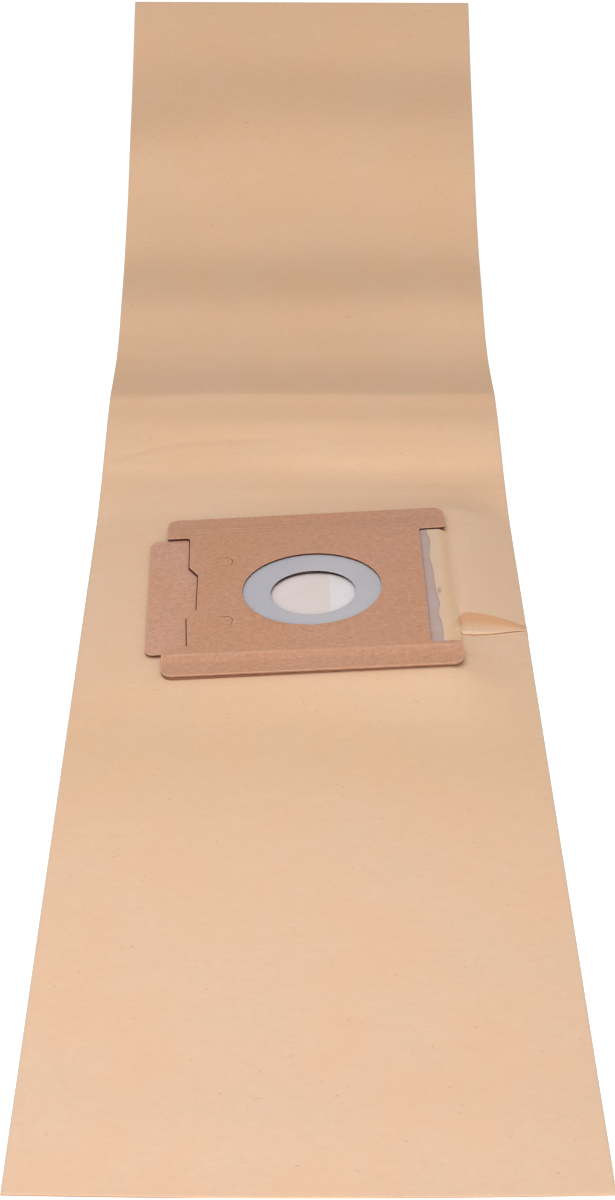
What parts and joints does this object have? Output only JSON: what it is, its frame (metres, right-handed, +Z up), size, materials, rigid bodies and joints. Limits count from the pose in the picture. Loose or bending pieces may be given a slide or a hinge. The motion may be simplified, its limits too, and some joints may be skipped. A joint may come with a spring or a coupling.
{
  "type": "vacuum dust bag",
  "caption": "Long double-ply kraft paper dust bag with a card collar, a soft sealing membrane round the inlet and a pull-out card shutter, lying with its far end lifted.",
  "frame": {"origin": "middle of the bounding box, on the surface that the bag lies on", "axes": "+X across the bag towards the end of the collar that the paper laps over, away from the pull tab; +Y along the bag from its flat end to its lifted end; +Z up, out of the inlet"},
  "size_m": [0.165, 0.703, 0.1108],
  "materials": {
    "kraft_paper": "matt tan kraft filter paper with faint fibres",
    "filter_tissue": "soft white tissue",
    "collar_card": "matt brown solid board with fine flecks",
    "shutter_card": "matt brown solid board with fine flecks",
    "seal_sheet": "smooth satin blue-grey sheet"
  },
  "bodies": {
    "bag": {"outer_paper_bag": "kraft_paper", "inner_filter_liner": "filter_tissue", "collar_base_plate": "collar_card", "sealing_membrane": "seal_sheet", "collar_cover_plate": "collar_card"},
    "shutter": {"closing_shutter": "shutter_card"}
  },
  "joints": [
    {"name": "shutter_pull", "type": "slide", "parent": "bag", "child": "shutter", "axis": [-0.9985, -0.0209, -0.0506], "range_m": [0, 0.0342]}
  ]
}
